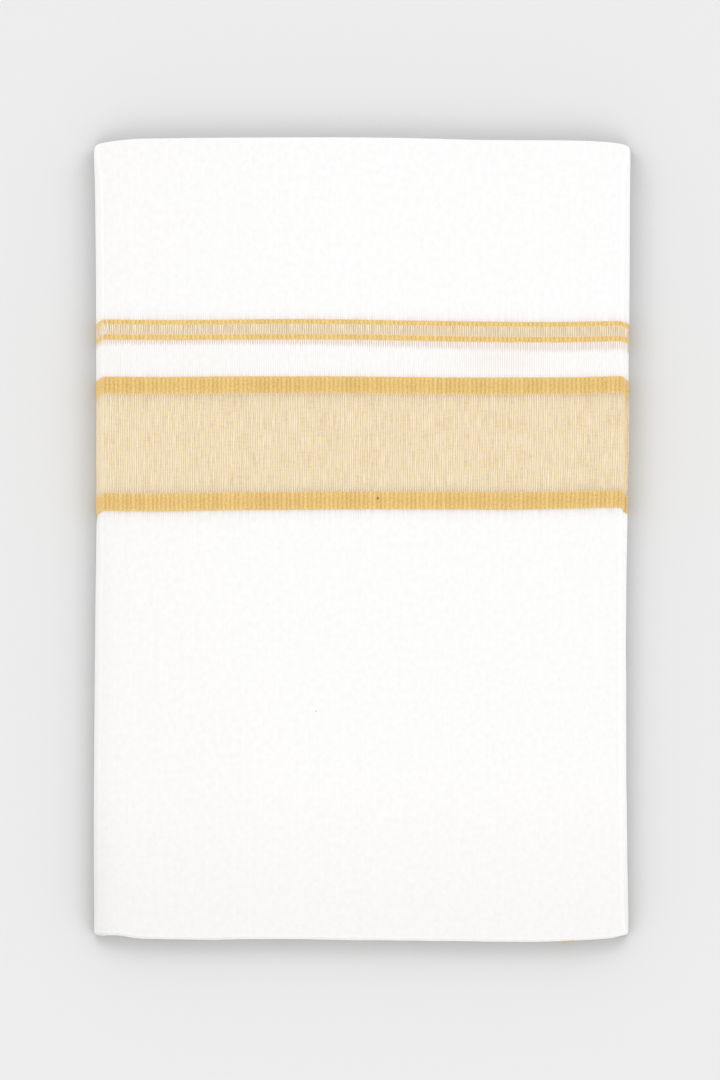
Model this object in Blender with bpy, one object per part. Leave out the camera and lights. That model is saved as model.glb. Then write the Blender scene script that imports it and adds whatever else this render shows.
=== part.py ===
"""A dhoti folded flat: one long white cotton cloth with woven gold borders. Metres, +Z up.

The cloth is folded across its width into sets of four plies, and the sets are folded in half four
times along its length. X runs along the borders, Y from the bottom fold to the top fold, and Z up
from the surface that the cloth lies on. The last lengthwise fold is on the left, so the outer plies
wrap that whole side. On the right they turn round the upper half of the layers only, where the
third of these folds lies, with the packages of the first two folds and the two cut ends below.
"""

import math

import bmesh
import bpy
import numpy as np

# Driving dimensions of the folded cloth
HALF_WIDTH = 0.1222
HALF_LENGTH = 0.1850
CORNER_RADIUS = 0.0030
WALL = 0.0012
GAP = 0.0003
LAP = WALL + GAP
FOOT = 0.0004

# Shape of the cloth's sides, seen along the borders: both lean in and are rounded at the top
SIDE_LEAN = 0.25
SIDE_RISE = 0.0035
SIDE_ROUND = 0.0012
NOSE_RISE = 0.0032
NOSE_ROUND = 0.0014
SECTION_STEPS = 24

# Half widths of the folded cloth, up its face
SIDES = (
    # y, left, right
    (-0.178, 0.1225, 0.1214),
    (-0.136, 0.1226, 0.1209),
    (-0.081, 0.1221, 0.1207),
    (-0.025, 0.1217, 0.1208),
    (0.010, 0.1213, 0.1209),
    (0.038, 0.1214, 0.1213),
    (0.086, 0.1215, 0.1216),
    (0.135, 0.1218, 0.1221),
    (0.179, 0.1224, 0.1224),
)

# Half lengths of the folded cloth, across its face
ENDS = (
    # x, to the top fold, to the bottom fold
    (-0.1214, 0.1823, 0.1822),
    (-0.1060, 0.1846, 0.1837),
    (-0.0900, 0.1850, 0.1843),
    (-0.0460, 0.1854, 0.1839),
    (0.0180, 0.1852, 0.1846),
    (0.0540, 0.1843, 0.1850),
    (0.0820, 0.1841, 0.1852),
    (0.1000, 0.1839, 0.1844),
    (0.1130, 0.1833, 0.1841),
    (0.1190, 0.1824, 0.1832),
)
END_REACH = 0.060

# Height of the outer surface: the flap adds a ply to each of the sixteen sets
FLAP_HEIGHTS = (
    # y, height
    (0.010, 0.0134),
    (0.040, 0.0138),
    (0.100, 0.0140),
    (0.160, 0.0139),
    (0.185, 0.0131),
)
FRONT_HEIGHTS = (
    # y, height
    (-0.185, 0.0098),
    (-0.175, 0.0105),
    (-0.150, 0.0108),
    (-0.076, 0.0110),
    (-0.030, 0.0112),
    (0.000, 0.0116),
    (0.012, 0.0119),
)

# Woven edges across the flap, from the selvedge up
SELVEDGE = (0.0122, 0.0136)
WIDE_GOLD_LOWER_TOP = (0.0203, 0.0215)
WIDE_TISSUE_TOP = (0.0663, 0.0665)
WIDE_TOP = (0.0739, 0.0739)
NARROW_FOOT = (0.0916, 0.0906)
NARROW_TISSUE_FOOT = (0.0939, 0.0930)
NARROW_TISSUE_TOP = (0.0983, 0.0974)
NARROW_TOP = (0.1004, 0.0994)

# The lower front runs on under the flap this far, with its sides tucked inside the flap's
LAP_TOP = 0.0300
TUCK_TOP = 0.0112
TUCK_FOOT = 0.0072
TUCK_LEFT = 0.0003

# Cord ribs of the gold lines
RIB_PITCH = 0.00198
RIB_RISE = 0.00025
RIBS_HALF_WIDTH = HALF_WIDTH - 0.0052

# Faint lines that the edges of hidden layers press into the lower front
CREASES = (
    # x0, y0, x1, y1, depth, half width
    (-0.022, -0.0748, 0.112, -0.0760, 0.00025, 0.0035),
    (0.0852, 0.0040, 0.0846, -0.1780, 0.00020, 0.0035),
)
CREASE_FADE = 0.15

# Sixteen sets of plies show as eight even noses at the top and bottom folds. At the right they turn
# together in packages: from the surface up the two cut ends, the first fold, the second and the third
NOSES = 8
NOSE_DEPTH = 0.0008
NOSE_LEVELS = (0.0, 0.15, 0.5, 0.85)
NOSE_SET_BACK = (
    # from the top fold, from the bottom fold
    (0.0006, 0.0002),
    (0.0003, 0.0007),
    (0.0007, 0.0003),
    (0.0002, 0.0006),
    (0.0005, 0.0001),
    (0.0001, 0.0005),
    (0.0006, 0.0002),
    (0.0003, 0.0006),
)
PACKAGES = (
    # noses, set back from the right
    (1, 0.0001),
    (1, 0.0006),
    (2, 0.0009),
    (4, 0.0012),
)
WRAP_SHARE = 1 - PACKAGES[-1][0] / NOSES
PACKAGE_HEIGHTS = (
    # y, height of all four
    (-0.185, 0.0083),
    (-0.175, 0.0090),
    (-0.150, 0.0093),
    (-0.076, 0.0095),
    (-0.030, 0.0097),
    (0.012, 0.0104),
    (0.060, 0.0123),
    (0.100, 0.0125),
    (0.160, 0.0124),
    (0.185, 0.0116),
)

# The other selvedge's border, where it peeks out of the bottom fold
PEEK_LEFT = 0.0910
PEEK_RIGHT = 0.0985
PEEK_THICKNESS = 0.0006
PEEK_NOSE = 2
PEEK_BACK = 0.0004
PEEK_OUT = 0.0005

# Colours of the yarns, in sRGB
WHITE_COTTON = (0.96, 0.955, 0.945)
GOLD_YARN = (0.91, 0.76, 0.49)
TISSUE = (0.935, 0.86, 0.72)

# Where the walls have columns on top, and rows up the face: closer together at the pressed lines
FLAP_PLACES = (-0.106, -0.090, -0.046, 0.000, 0.018, 0.054, 0.082, 0.100, 0.112)
FRONT_PLACES = (-0.108, -0.090, -0.068, -0.046, -0.022, 0.000, 0.018, 0.054)
FRONT_PLACES += (0.0815, 0.085, 0.0885, 0.100, 0.112)
FLAP_STOPS = (0.120, 0.140, 0.155, 0.168)
FRONT_STOPS = (-0.164, -0.140, -0.110, -0.084, -0.0785, -0.0754, -0.0720, -0.060, -0.030, -0.008)
TUCK_STOPS = (TUCK_FOOT, 0.0085, 0.0100, TUCK_TOP)
LEFT_STEPS = 12
RIGHT_STEPS = 5
RIBBED_LEFT_STEPS = 16
RIBBED_RIGHT_STEPS = 6
PLAIN_INSIDE_EVERY = 24

# Rows that follow the round corners of the outline, and the round end of a fold
CORNER_TOP = (0.1780, 0.1818, 0.1829, 0.1837)
CORNER_FOOT = tuple(-y for y in reversed(CORNER_TOP))
CORE_END = HALF_LENGTH - 0.0002
FOLD_ANGLES = (35, 65)


def read(table, column, at):
    """A smooth curve through one column of a table, held level past its ends."""
    places = [row[0] for row in table]
    values = [row[column] for row in table]
    if at <= places[0]:
        return values[0]
    if at >= places[-1]:
        return values[-1]
    slopes = np.gradient(values, places)
    i = int(np.searchsorted(places, at)) - 1
    span = places[i + 1] - places[i]
    t = (at - places[i]) / span
    rise = values[i + 1] - values[i]
    start = slopes[i] * span
    end = slopes[i + 1] * span
    return values[i] + t * start + t * t * (3 * rise - 2 * start - end) + t**3 * (start + end - 2 * rise)


def smooth(t):
    t = min(max(t, 0.0), 1.0)
    return t * t * (3 - 2 * t)


def flap_height(y):
    return read(FLAP_HEIGHTS, 1, y)


def front_height(y):
    """The lower front's outer surface, which lies just under the flap where that covers it."""
    return flap_height(y) - LAP if y >= FRONT_HEIGHTS[-1][0] else read(FRONT_HEIGHTS, 1, y)


def front_tuck(y):
    """How far the lower front's sides stay inside the flap's."""
    return TUCK_LEFT + (LAP - TUCK_LEFT) * smooth((y - TUCK_FOOT) / (TUCK_TOP - TUCK_FOOT))


def flap_tuck(y):
    return 0.0


def packed_height(y):
    """Height of the packages below the outer ply's own."""
    return WRAP_SHARE * read(PACKAGE_HEIGHTS, 1, y)


def wrap_end(y):
    """Where the outer ply's leaning wall ends on the right, its inner edge just above them."""
    return packed_height(y) + GAP + WALL * SIDE_LEAN / math.hypot(1, SIDE_LEAN)


def place(x, y, z):
    """A point of the even rectangle, moved to the cloth's own slightly waisted outline."""
    half = read(SIDES, 1 if x < 0 else 2, y)
    into_corner = min(max(abs(y) - (HALF_LENGTH - CORNER_RADIUS), 0.0) / CORNER_RADIUS, 1.0)
    half -= CORNER_RADIUS * (1 - math.sqrt(1 - into_corner**2))
    moved_x = x * half / HALF_WIDTH
    reach = smooth((abs(y) - HALF_LENGTH + END_REACH) / END_REACH)
    end = read(ENDS, 1 if y > 0 else 2, moved_x) - HALF_LENGTH
    return (moved_x, y + math.copysign(reach, y) * end, z)


def crease(x, y):
    """Depth of the pressed lines at a point of the lower front."""
    depth = 0.0
    for x0, y0, x1, y1, deep, half_width in CREASES:
        run = np.array((x1 - x0, y1 - y0))
        length = math.hypot(*run)
        along = float(np.dot((x - x0, y - y0), run)) / length**2
        away = abs(float(run[0] * (y - y0) - run[1] * (x - x0))) / length
        fade = smooth(along / CREASE_FADE) * smooth((1 - along) / CREASE_FADE)
        depth += deep * fade * (1 - smooth(away / half_width))
    return depth


def leaning_side(half, height, foot, rise, rounding):
    """From a foot up a leaning side and round onto the top, as dense points of x outwards and z."""
    bend = np.array((half - SIDE_LEAN * (height - rise), height - rise))
    corner = np.array((half - SIDE_LEAN * height, height))
    end = corner - (rounding, 0)
    side = [(half - SIDE_LEAN * z, z) for z in np.linspace(foot, height - rise, SECTION_STEPS)]
    for t in np.linspace(0, 1, SECTION_STEPS)[1:]:
        side.append(tuple((1 - t) ** 2 * bend + 2 * t * (1 - t) * corner + t * t * end))
    return np.array(side)


def side_curves(height, tuck, nose_end):
    """The outer surface's left side, foot to top, and its right nose, top to edge, as dense points."""
    half = HALF_WIDTH - tuck
    left = leaning_side(half, height, FOOT, SIDE_RISE, SIDE_ROUND) * (-1, 1)
    right = leaning_side(half, height, nose_end, NOSE_RISE, NOSE_ROUND)
    return left, right[::-1]


def resampled(curve, steps):
    """Points at even distances along a curve, with the normals on its left as it is walked."""
    ways = np.gradient(curve, axis=0)
    lengths = np.concatenate([[0], np.cumsum(np.hypot(*np.diff(curve, axis=0).T))])
    at = np.linspace(0, lengths[-1], steps + 1)
    points = np.column_stack([np.interp(at, lengths, curve[:, i]) for i in (0, 1)])
    tangents = np.column_stack([np.interp(at, lengths, ways[:, i]) for i in (0, 1)])
    tangents /= np.hypot(*tangents.T)[:, None]
    return points, np.column_stack([-tangents[:, 1], tangents[:, 0]])


def arch(section, left_steps, top_places, right_steps):
    """The outer surface across the cloth at one place, with its normals, as x and z."""
    height = section[0]
    left, right = side_curves(*section)
    left_points, left_normals = resampled(left, left_steps)
    right_points, right_normals = resampled(right, right_steps)
    top_points = np.array([(x, height) for x in top_places])
    top_normals = np.tile((0.0, 1.0), (len(top_places), 1))
    points = np.concatenate([left_points, top_points, right_points])
    normals = np.concatenate([left_normals, top_normals, right_normals])
    return points, normals


def material(name, colour, roughness, sheen=0.0):
    made = bpy.data.materials.new(name)
    made.use_nodes = True
    shader = made.node_tree.nodes["Principled BSDF"]
    linear = [((c + 0.055) / 1.055) ** 2.4 for c in colour]
    shader.inputs["Base Color"].default_value = (*linear, 1)
    shader.inputs["Roughness"].default_value = roughness
    shader.inputs["Sheen Weight"].default_value = sheen
    made.diffuse_color = (*linear, 1)
    return made


def piece(name, points, faces, colour, parent):
    """One named object from points and faces, its origin on the surface below its middle."""
    points = np.array(points)
    middle_y = float(points[:, 1].min() + points[:, 1].max()) / 2
    origin = np.array((0.0, middle_y, 0.0))
    mesh = bpy.data.meshes.new(name)
    mesh.from_pydata((points - origin).tolist(), [], faces)
    shape = bmesh.new()
    shape.from_mesh(mesh)
    bmesh.ops.recalc_face_normals(shape, faces=shape.faces)
    shape.to_mesh(mesh)
    shape.free()
    mesh.shade_smooth()
    mesh.set_sharp_from_angle(angle=math.radians(35))
    mesh.materials.append(colour)
    made = bpy.data.objects.new(name, mesh)
    bpy.context.scene.collection.objects.link(made)
    made.parent = parent
    made.location = origin
    return made


def rows_between(near, far, stops, near_fold, far_fold):
    """Rows up the cloth: y at its left and at its right, and how much each face of the wall is shaved."""
    near = np.array(near)
    far = np.array(far)
    middle = WALL / 2
    fold_angles = [math.radians(angle) for angle in FOLD_ANGLES]
    first = near + middle * near_fold
    last = far - middle * far_fold
    rows = []
    if near_fold:
        for angle in reversed(fold_angles):
            rows.append((first - middle * math.sin(angle), middle * (1 - math.cos(angle))))
    rows.append((first, 0.0))
    for stop in stops:
        share = (stop - near.mean()) / (far.mean() - near.mean())
        rows.append((near + (far - near) * share, 0.0))
    rows.append((last, 0.0))
    if far_fold:
        for angle in fold_angles:
            rows.append((last + middle * math.sin(angle), middle * (1 - math.cos(angle))))
    return rows


def wall(name, colour, parent, near, far, **shape):
    """A stretch of cloth between two lines across it, wrapped over the sides.

    stops are the rows between, height_at and tuck_at give its section, places its columns on top,
    ribbed raises cord ribs in its outer points over a plain inside, and creased presses the hidden
    layers' lines into it.
    """
    left_steps = shape.get("left_steps", LEFT_STEPS)
    right_steps = shape.get("right_steps", RIGHT_STEPS)
    places = shape.get("places", FLAP_PLACES)
    height_at = shape.get("height_at", flap_height)
    tuck_at = shape.get("tuck_at", flap_tuck)
    ribbed = shape.get("ribbed", False)
    columns = left_steps + 1 + len(places) + right_steps + 1
    kept = list(range(columns))
    if ribbed:
        plain = range(left_steps + 1, columns - right_steps - 1)
        kept = [i for i in range(columns) if i not in plain or i % PLAIN_INSIDE_EVERY == 0]
    outer, inner = [], []
    rows = rows_between(
        near, far, shape.get("stops", ()), shape.get("near_fold", False), shape.get("far_fold", False)
    )
    for ends, shaved in rows:
        middle_y = float(ends.mean())
        section = (height_at(middle_y), tuck_at(middle_y), wrap_end(middle_y))
        points, normals = arch(section, left_steps, places, right_steps)
        for i, (point, normal) in enumerate(zip(points, normals)):
            share = (point[0] + HALF_WIDTH) / (2 * HALF_WIDTH)
            y = float(ends[0] + (ends[1] - ends[0]) * share)
            depth = shaved
            if ribbed:
                depth -= RIB_RISE * (i % 2)
            if shape.get("creased", False):
                depth += crease(point[0], y)
            x, z = point - normal * depth
            outer.append(place(x, y, z))
            if i in kept:
                x, z = point - normal * (WALL - shaved)
                inner.append(place(x, y, z))
    return piece(name, outer + inner, wall_faces(len(rows), columns, kept), colour, parent)


def wall_faces(rows, columns, kept):
    """Faces of a wall whose inner side has only the kept columns of its outer side."""
    inside = rows * columns
    width = len(kept)
    faces = []
    for j in range(rows - 1):
        for i in range(columns - 1):
            a = j * columns + i
            faces.append((a, a + 1, a + 1 + columns, a + columns))
        for i in range(width - 1):
            a = inside + j * width + i
            faces.append((a, a + width, a + 1 + width, a + 1))
        for i, k in ((0, 0), (columns - 1, width - 1)):
            a = j * columns + i
            b = inside + j * width + k
            faces.append((a, a + columns, b + width, b))
    for j in (0, rows - 1):
        for k in range(width - 1):
            outer_run = [j * columns + i for i in range(kept[k], kept[k + 1] + 1)]
            inner_run = [inside + j * width + k + 1, inside + j * width + k]
            faces.append(tuple(outer_run + inner_run))
    return faces


def rib_places():
    """Columns on top for a ribbed line: two to each rib, the ends a whole rib from the turns."""
    count = int(2 * RIBS_HALF_WIDTH / RIB_PITCH) * 2
    return tuple(-RIBS_HALF_WIDTH + RIB_PITCH / 2 * (i + 1) for i in range(count - 1))


def bulge_depth(share):
    """How far back a round nose lies at a share of its own height."""
    return NOSE_DEPTH * (1 - math.sqrt(1 - (2 * share - 1) ** 2))


def layer_levels():
    """Levels up the layered edge, from the surface.

    Each is its share of the height, how far back it lies at the right, the top fold and the bottom
    fold, and whether the outer ply covers it at the right.
    """
    levels = []
    foot = 0
    for noses, back in PACKAGES:
        for nose in range(foot, foot + noses):
            top_back, bottom_back = NOSE_SET_BACK[nose]
            for level in NOSE_LEVELS:
                depth = bulge_depth(level)
                right = back + bulge_depth((nose - foot + level) / noses)
                covered = foot + noses == NOSES
                share = (nose + level) / NOSES
                levels.append((share, right, top_back + depth, bottom_back + depth, covered))
        foot += noses
    levels.append((1.0, NOSE_DEPTH, top_back + NOSE_DEPTH, bottom_back + NOSE_DEPTH, True))
    return levels


def core_section(y, upper):
    """Across the hidden layers at y: their height, and how far out their cover lets them reach by z."""
    height = flap_height(y) if upper else front_height(y)
    tuck = flap_tuck(y) if upper else front_tuck(y)
    reaches = []
    for curve, way in zip(side_curves(height, tuck, wrap_end(y)), (-1, 1)):
        points, normals = resampled(curve, 2 * SECTION_STEPS)
        inside = points - normals * LAP
        order = np.argsort(inside[:, 1])
        reaches.append((inside[order, 1], way * inside[order, 0]))
    return y, height - LAP, reaches


def core_corners(section, level):
    """The left and right points of one level at one section, as x and z."""
    y, height, reaches = section
    share, right, _, _, covered = level
    packed = packed_height(y)
    z = float(np.interp(share, (0, WRAP_SHARE, 1), (0, packed, height)))
    left = -float(np.interp(z, *reaches[0]))
    if covered:
        return left, float(np.interp(z, *reaches[1])), z
    return left, HALF_WIDTH - right, z


def core_ring(sections, level):
    """One level's outline: up the left side, along the top fold, down the right side and back."""
    _, _, top_back, bottom_back, _ = level
    corners = [core_corners(section, level) for section in sections]
    ring = [(left, section[0], z) for section, (left, _, z) in zip(sections, corners)]
    ring += [(x, sections[-1][0], corners[-1][2]) for x in FLAP_PLACES]
    ring += [(right, section[0], z) for section, (_, right, z) in zip(sections[::-1], corners[::-1])]
    ring += [(x, sections[0][0], corners[0][2]) for x in FLAP_PLACES[::-1]]
    top = CORE_END - top_back
    bottom = CORE_END - bottom_back
    return [place(x, min(max(y, -bottom), top), z) for x, y, z in ring]


def hidden_folds(colour, parent):
    """All the layers inside and underneath: one rounded solid on a flat underside, layered at its edges."""
    step = LAP_TOP + GAP
    lower = (-CORE_END, *CORNER_FOOT, -0.150, -0.110, -0.076, -0.030, 0.0040, *TUCK_STOPS, step)
    upper = (step + 0.0001, 0.060, 0.100, 0.140, 0.165, *CORNER_TOP, CORE_END)
    sections = [core_section(y, False) for y in lower] + [core_section(y, True) for y in upper]
    rings = [core_ring(sections, level) for level in layer_levels()]
    count = len(rings[0])
    faces = [tuple(reversed(range(count)))]
    for k in range(len(rings) - 1):
        for i in range(count):
            a, b = k * count + i, k * count + (i + 1) % count
            faces.append((a, b, b + count, a + count))
    lid = (len(rings) - 1) * count
    last = len(sections) - 1
    right_top = last + 1 + len(FLAP_PLACES)
    for j in range(last):
        right = right_top + last - j
        faces.append((lid + j, lid + right, lid + right - 1, lid + j + 1))
    faces.append(tuple(lid + i for i in range(last, right_top + 1)))
    faces.append((*(lid + i for i in range(right_top + last, count)), lid))
    points = [point for ring in rings for point in ring]
    return piece("hidden_folds", points, faces, colour, parent)


def inner_border_edge(colour, parent):
    """A sliver of the other selvedge's border, between two packages at the bottom fold."""
    middle_z = PEEK_NOSE / NOSES * read(PACKAGE_HEIGHTS, 1, -HALF_LENGTH)
    front = -HALF_LENGTH - PEEK_OUT
    back = -HALF_LENGTH + PEEK_BACK
    points = []
    for x, out in ((PEEK_LEFT, 0.3), (PEEK_LEFT + 0.0015, 1), (PEEK_RIGHT - 0.0015, 1), (PEEK_RIGHT, 0.3)):
        half = PEEK_THICKNESS / 2
        for y, z in ((back, -half), (front, -half / 2), (front, half / 2), (back, half)):
            forward = back + (y - back) * out
            moved = place(x, -HALF_LENGTH, middle_z + z)
            points.append((x, moved[1] + forward + HALF_LENGTH, middle_z + z))
    faces = [(0, 1, 2, 3), (12, 13, 14, 15)]
    for k in range(3):
        for i in range(4):
            a, b = 4 * k + i, 4 * k + (i + 1) % 4
            faces.append((a, b, b + 4, a + 4))
    return piece("inner_border_edge", points, faces, colour, parent)


def above(line):
    """The next piece's lower edge, a seam's gap above a woven edge."""
    return tuple(y + GAP for y in line)


def main():
    for old in list(bpy.data.objects):
        bpy.data.objects.remove(old)
    cotton = material("white_cotton", WHITE_COTTON, 0.9, 0.15)
    gold = material("gold_yarn", GOLD_YARN, 0.55, 0.1)
    tissue = material("tissue_weave", TISSUE, 0.7, 0.1)
    dhoti = bpy.data.objects.new("dhoti", None)
    bpy.context.scene.collection.objects.link(dhoti)

    hidden_folds(cotton, dhoti)
    wall(
        "lower_front",
        cotton,
        dhoti,
        (-HALF_LENGTH, -HALF_LENGTH),
        (LAP_TOP, LAP_TOP),
        stops=(*CORNER_FOOT, *FRONT_STOPS, *TUCK_STOPS),
        height_at=front_height,
        tuck_at=front_tuck,
        places=FRONT_PLACES,
        near_fold=True,
        creased=True,
    )
    ribs = {
        "ribbed": True,
        "places": rib_places(),
        "left_steps": RIBBED_LEFT_STEPS,
        "right_steps": RIBBED_RIGHT_STEPS,
    }
    wall("wide_gold_selvedge", gold, dhoti, SELVEDGE, WIDE_GOLD_LOWER_TOP, **ribs)
    wall("wide_tissue", tissue, dhoti, above(WIDE_GOLD_LOWER_TOP), WIDE_TISSUE_TOP, stops=(0.040,))
    wall("wide_gold_upper", gold, dhoti, above(WIDE_TISSUE_TOP), WIDE_TOP, **ribs)
    wall("flap_gap", cotton, dhoti, above(WIDE_TOP), NARROW_FOOT)
    wall("narrow_gold_lower", gold, dhoti, above(NARROW_FOOT), NARROW_TISSUE_FOOT, **ribs)
    wall("narrow_tissue", tissue, dhoti, above(NARROW_TISSUE_FOOT), NARROW_TISSUE_TOP)
    wall("narrow_gold_upper", gold, dhoti, above(NARROW_TISSUE_TOP), NARROW_TOP, **ribs)
    wall(
        "flap_body",
        cotton,
        dhoti,
        above(NARROW_TOP),
        (HALF_LENGTH, HALF_LENGTH),
        stops=(*FLAP_STOPS, *CORNER_TOP),
        far_fold=True,
    )
    inner_border_edge(gold, dhoti)


main()
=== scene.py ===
"""A dhoti folded flat: white cotton with woven gold borders, dressed over its fixed frame."""

import math

import bpy
import numpy as np
from bpy.props import FloatProperty, FloatVectorProperty, PointerProperty
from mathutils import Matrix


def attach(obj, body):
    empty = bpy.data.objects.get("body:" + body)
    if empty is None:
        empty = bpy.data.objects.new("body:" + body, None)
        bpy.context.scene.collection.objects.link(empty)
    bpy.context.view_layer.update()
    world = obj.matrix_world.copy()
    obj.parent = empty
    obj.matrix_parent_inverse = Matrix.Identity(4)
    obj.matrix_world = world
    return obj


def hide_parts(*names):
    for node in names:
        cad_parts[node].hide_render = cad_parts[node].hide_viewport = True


bl_info = {
    "name": "Folded dhoti cloth",
    "version": (1, 0, 0),
    "blender": (4, 5, 0),
    "location": "3D View > Sidebar > Dhoti",
    "description": "Builds a folded white dhoti with woven gold borders, and a plain stage for it",
    "category": "Object",
}

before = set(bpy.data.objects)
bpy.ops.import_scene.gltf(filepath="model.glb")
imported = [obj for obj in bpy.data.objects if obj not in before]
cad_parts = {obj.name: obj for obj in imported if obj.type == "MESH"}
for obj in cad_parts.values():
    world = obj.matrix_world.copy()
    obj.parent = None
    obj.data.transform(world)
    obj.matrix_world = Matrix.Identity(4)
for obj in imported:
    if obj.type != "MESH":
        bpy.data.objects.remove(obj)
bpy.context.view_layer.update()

# The folded cloth's even rectangle, in metres
HALF_WIDTH = 0.1222
HALF_LENGTH = 0.1850
CORNER_RADIUS = 0.0012
END_REACH = 0.060

# At the top corners the leaning sides are drawn out square, most at the very edge
SQUARE_REACH = 0.018
SQUARE_SHARE = 0.85
SQUARE_POWER = 9

# Half widths of the folded cloth, up its face
SIDES = (
    # y, left, right
    (-0.178, 0.1221, 0.1214),
    (-0.136, 0.1223, 0.1209),
    (-0.081, 0.1221, 0.1207),
    (-0.025, 0.1217, 0.1208),
    (0.010, 0.1213, 0.1213),
    (0.038, 0.1214, 0.1220),
    (0.086, 0.1215, 0.1222),
    (0.135, 0.1218, 0.1226),
    (0.179, 0.1224, 0.1229),
)

# Half lengths of the folded cloth, across its face
ENDS = (
    # x, to the top fold, to the bottom fold
    (-0.1214, 0.1828, 0.1816),
    (-0.1160, 0.1838, 0.1822),
    (-0.1105, 0.1846, 0.1822),
    (-0.1040, 0.1852, 0.1834),
    (-0.0900, 0.1855, 0.1841),
    (-0.0460, 0.1859, 0.1839),
    (0.0180, 0.1857, 0.1846),
    (0.0540, 0.1848, 0.1850),
    (0.0820, 0.1846, 0.1852),
    (0.1000, 0.1844, 0.1845),
    (0.1090, 0.1840, 0.1840),
    (0.1150, 0.1835, 0.1832),
    (0.1190, 0.1829, 0.1824),
    (0.1215, 0.1824, 0.1813),
)

# Height of the outer plies: the flap lies down on the front at its selvedge
FLAP_HEIGHTS = (
    # y, height
    (0.012, 0.0124),
    (0.030, 0.0131),
    (0.050, 0.0136),
    (0.075, 0.0139),
    (0.110, 0.0140),
    (0.160, 0.0139),
    (0.185, 0.0131),
)
FRONT_HEIGHTS = (
    # y, height
    (-0.185, 0.0098),
    (-0.175, 0.0105),
    (-0.150, 0.0108),
    (-0.076, 0.0110),
    (-0.030, 0.0112),
    (0.000, 0.0116),
    (0.012, 0.0119),
)
UNDER_FLAP = 0.00045
FRONT_LAP_TOP = 0.0300

# How far the front's sides stay inside the flap's, below and under its selvedge
TUCK_BELOW = 0.0001
TUCK_UNDER = 0.0004
TUCK_FOOT = 0.0080
TUCK_TOP = 0.0120

# The leaning sides: the left one is wrapped to the surface, the right one ends at the third fold
SIDE_LEAN = 0.25
SIDE_RISE = 0.0035
SIDE_ROUND = 0.0012
NOSE_RISE = 0.0032
NOSE_ROUND = 0.0014
TURN_ROUND = 0.0014
TURN_LAP = 0.0030
TURN_OUT = 0.00028
SIDE_REACH = 0.0062
LINE_STEPS = 40

# The top and bottom folds of the outer plies
FOLD_RADIUS = 0.0006
FOLD_LAP = 0.0040

# Woven distances from the selvedge, and where those edges lie across the face
GOLD_FOOT_TOP = 0.0081
TISSUE_TOP = 0.0535
WIDE_TOP = 0.0614
NARROW_FOOT = 0.0785
NARROW_TISSUE_FOOT = 0.0811
NARROW_TISSUE_TOP = 0.0856
NARROW_TOP = 0.0879
FLAP_FOLD = 0.1718
WOVEN_EDGES = (
    # x, y of the selvedge, wide border's top, narrow border's foot, narrow border's top
    (-0.1168, 0.01255, 0.07448, 0.09156, 0.10102),
    (-0.0921, 0.01236, 0.07434, 0.09138, 0.10075),
    (-0.0647, 0.01287, 0.07457, 0.09147, 0.10088),
    (-0.0373, 0.01301, 0.07461, 0.09161, 0.10121),
    (-0.0099, 0.01329, 0.07461, 0.09161, 0.10107),
    (0.0175, 0.01329, 0.07434, 0.09115, 0.10056),
    (0.0450, 0.01324, 0.07406, 0.09059, 0.10019),
    (0.0724, 0.01311, 0.07410, 0.09031, 0.09986),
    (0.0998, 0.01371, 0.07424, 0.09041, 0.09995),
    (0.1163, 0.01412, 0.07471, 0.09082, 0.10028),
)
SELVEDGE_MEAN = 0.0132

# From metres to the millimetres in which the finishes are written, and how soft a woven edge is
MILLIMETRES = 1000.0
EDGE_SOFT = 0.35

# Middles of the wide gold lines, and the narrow tissue's middle, in millimetres from the selvedge
GOLD_MIDDLES = (4.0, 57.4)
GOLD_HALF = 4.2
NARROW_MIDDLE = 83.3

# Lines that hidden edges press into the face, and soft troughs and ridges in it
FRONT_RELIEF = (
    # x0, y0, x1, y1, depth, half width
    (-0.0220, -0.0748, 0.1120, -0.0760, 0.00022, 0.0030),
    (0.0852, 0.0040, 0.0846, -0.1780, 0.00018, 0.0030),
    (-0.1120, -0.0200, -0.0300, -0.0330, 0.00010, 0.0090),
    (-0.0950, -0.1500, 0.0150, -0.1430, 0.00012, 0.0120),
    (0.0200, -0.1180, 0.1050, -0.1260, -0.00010, 0.0110),
    (-0.0780, -0.0950, -0.0690, -0.1700, -0.00008, 0.0080),
)
FLAP_RELIEF = (
    # x0, y0, x1, y1, depth, half width
    (-0.1050, 0.1420, 0.0300, 0.1450, 0.00010, 0.0110),
    (0.0100, 0.1620, 0.1080, 0.1560, -0.00008, 0.0090),
    (0.0560, 0.1780, 0.0600, 0.1080, 0.00008, 0.0070),
    (-0.0500, 0.1760, -0.0540, 0.1120, -0.00007, 0.0080),
    (-0.1000, 0.0420, 0.0900, 0.0460, 0.00008, 0.0120),
)

# Hidden layers: sixteen sets of plies, which turn in packages at the right
SETS = 16
COVER = 0.0015
SET_DEPTH = 0.00042
SET_LEVELS = (0.0, 0.10, 0.30, 0.70, 0.90)
PACKAGES = (
    # sets, set back from the right
    (2, -0.0002),
    (2, 0.0004),
    (4, 0.0009),
    (8, 0.0012),
)
PACKAGE_HEIGHTS = (
    # y, height of all four
    (-0.185, 0.0083),
    (-0.175, 0.0090),
    (-0.150, 0.0093),
    (-0.076, 0.0095),
    (-0.030, 0.0097),
    (0.012, 0.0104),
    (0.060, 0.0119),
    (0.100, 0.0125),
    (0.160, 0.0124),
    (0.185, 0.0116),
)
WRAP_GAP = 0.0003
PACKAGE_DEPTH = 0.0008
UNDERSIDE_LAP = TURN_ROUND + TURN_LAP
UNDERSIDE_STEP = 0.00035
OVER_TOP = 0.1160
TURNED_PAST = 0.117
END_BACK = 0.0002

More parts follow.
